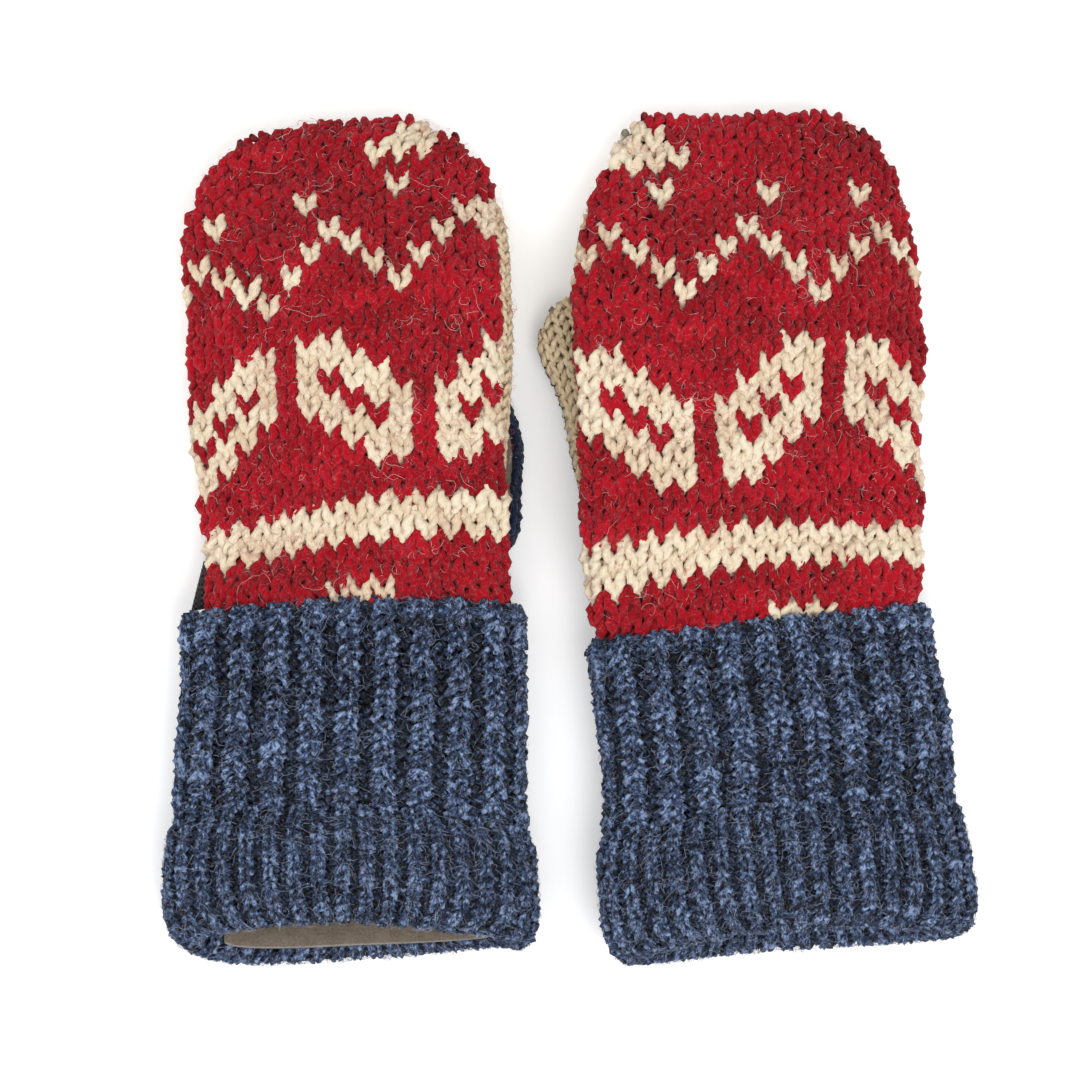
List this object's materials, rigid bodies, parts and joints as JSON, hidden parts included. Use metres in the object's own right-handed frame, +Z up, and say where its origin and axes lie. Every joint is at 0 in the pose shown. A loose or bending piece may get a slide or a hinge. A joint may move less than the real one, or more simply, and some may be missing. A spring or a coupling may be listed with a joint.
{
  "type": "pair of knitted mittens",
  "caption": "Pair of lined patchwork-knit mittens with patterned backs, plain palms, folded thumbs and wide turned-up ribbed cuffs.",
  "frame": {"origin": "on the table under the middle of the laid-out pair", "axes": "+Z up from the table, +Y towards the fingertips, +X from the left mitten to the right mitten"},
  "size_m": [0.2695, 0.286, 0.0355],
  "materials": {
    "red_wool": "bulky stockinette wool knit with cream colourwork",
    "cream_wool": "plain wool knit, slightly fuzzy",
    "navy_wool": "plain wool knit, slightly fuzzy",
    "blue_wool": "heathered, lightly felted rib knit",
    "fleece": "short-pile fleece",
    "woven_tape": "plain woven tape, no lettering",
    "sewing_thread": "spun sewing thread"
  },
  "bodies": {
    "left_mitten": {"left_back_panel": "red_wool", "left_upper_palm_panel": "cream_wool", "left_lower_palm_panel": "navy_wool", "left_cuff_turnup": "blue_wool", "left_cuff_band": "blue_wool", "left_cuff_inner": "blue_wool", "left_back_lining": "fleece", "left_upper_palm_lining": "fleece", "left_lower_palm_lining": "fleece", "left_side_seam_thread": "sewing_thread", "left_palm_seam_thread": "sewing_thread", "left_cuff_seam_thread": "sewing_thread", "left_seam_tab": "woven_tape"},
    "left_thumb": {"left_thumb_upper_half": "cream_wool", "left_thumb_lower_half": "navy_wool", "left_thumb_lining": "fleece", "left_thumb_seam_thread": "sewing_thread"},
    "right_mitten": {"right_back_panel": "red_wool", "right_upper_palm_panel": "cream_wool", "right_lower_palm_panel": "navy_wool", "right_cuff_turnup": "blue_wool", "right_cuff_band": "blue_wool", "right_cuff_inner": "blue_wool", "right_back_lining": "fleece", "right_upper_palm_lining": "fleece", "right_lower_palm_lining": "fleece", "right_side_seam_thread": "sewing_thread", "right_palm_seam_thread": "sewing_thread", "right_cuff_seam_thread": "sewing_thread"},
    "right_thumb": {"right_thumb_upper_half": "cream_wool", "right_thumb_lower_half": "navy_wool", "right_thumb_lining": "fleece", "right_thumb_seam_thread": "sewing_thread"}
  },
  "joints": [
    {"name": "left_thumb_swing", "type": "hinge", "parent": "left_mitten", "child": "left_thumb", "pos_m": [-0.03633, 0.00803, 0.0066], "axis": [0, 0, -1], "range_deg": [-10, 16]},
    {"name": "right_thumb_swing", "type": "hinge", "parent": "right_mitten", "child": "right_thumb", "pos_m": [0.02208, 0.01365, 0.0066], "axis": [0, 0, 1], "range_deg": [-33, 12]},
    {"name": "right_mitten_place", "type": "slide", "parent": "left_mitten", "child": "right_mitten", "axis": [1, 0, 0], "range_m": [0, 0.12]}
  ]
}
